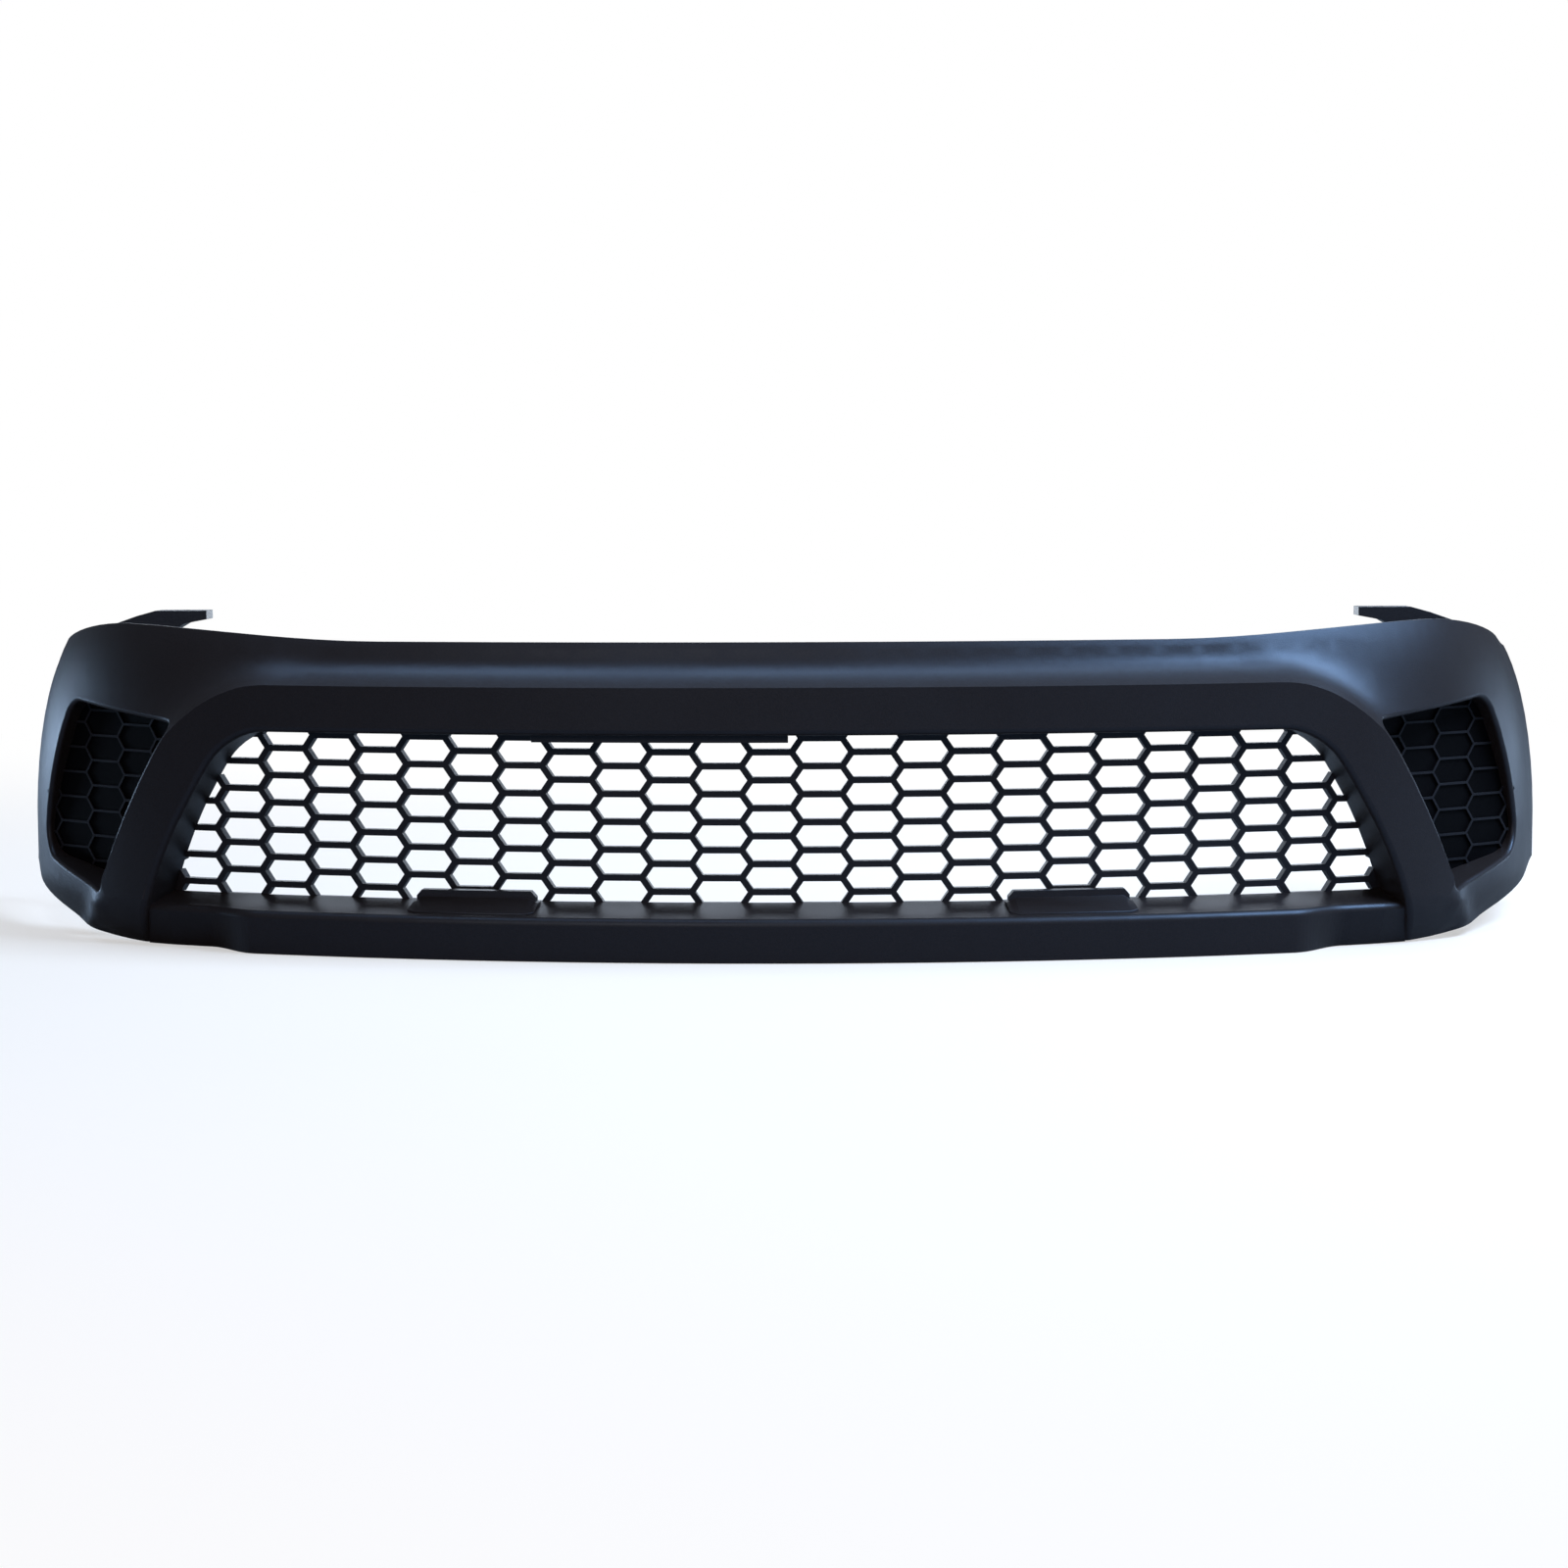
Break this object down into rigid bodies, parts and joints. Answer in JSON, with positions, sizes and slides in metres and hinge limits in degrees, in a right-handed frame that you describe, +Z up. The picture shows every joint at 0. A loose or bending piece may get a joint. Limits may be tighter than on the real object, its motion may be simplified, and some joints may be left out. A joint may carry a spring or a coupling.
{
  "type": "bumper cover",
  "caption": "Front bumper cover of a pickup: moulded skin with a hollow visor, wide honeycomb opening, side pods, lower lip and two upper arms.",
  "frame": {"origin": "on the floor, under the middle of the whole object", "axes": "+X to the right when looking along +Y at the front, +Y to the rear, +Z up"},
  "size_m": [1.7443, 0.5052, 0.3436],
  "materials": {
    "moulded_skin": "matte black ABS with a fine grain and a soft sheen",
    "mesh_plastic": "matte black plastic",
    "arm_plastic": "unpainted black plastic",
    "coated_steel": "black powder coat",
    "black_screw": "black phosphate",
    "zinc_hardware": "zinc plated"
  },
  "bodies": {
    "root": {"cover_shell": "moulded_skin", "centre_mesh": "mesh_plastic", "left_pod_insert": "mesh_plastic", "right_pod_insert": "mesh_plastic", "left_upper_arm": "arm_plastic", "right_upper_arm": "arm_plastic", "left_lip_pad": "moulded_skin", "right_lip_pad": "moulded_skin", "mesh_top_strip": "mesh_plastic", "visor_rail": "coated_steel", "lip_rail": "coated_steel", "left_lower_bracket": "coated_steel", "right_lower_bracket": "coated_steel", "mesh_screws": "black_screw", "left_pod_screws": "black_screw", "right_pod_screws": "black_screw", "left_arm_bolts": "zinc_hardware", "left_arm_nuts": "zinc_hardware", "left_arm_washers": "zinc_hardware", "right_arm_bolts": "zinc_hardware", "right_arm_nuts": "zinc_hardware", "right_arm_washers": "zinc_hardware", "bracket_bolts": "zinc_hardware", "bracket_nuts": "zinc_hardware"}
  },
  "joints": []
}
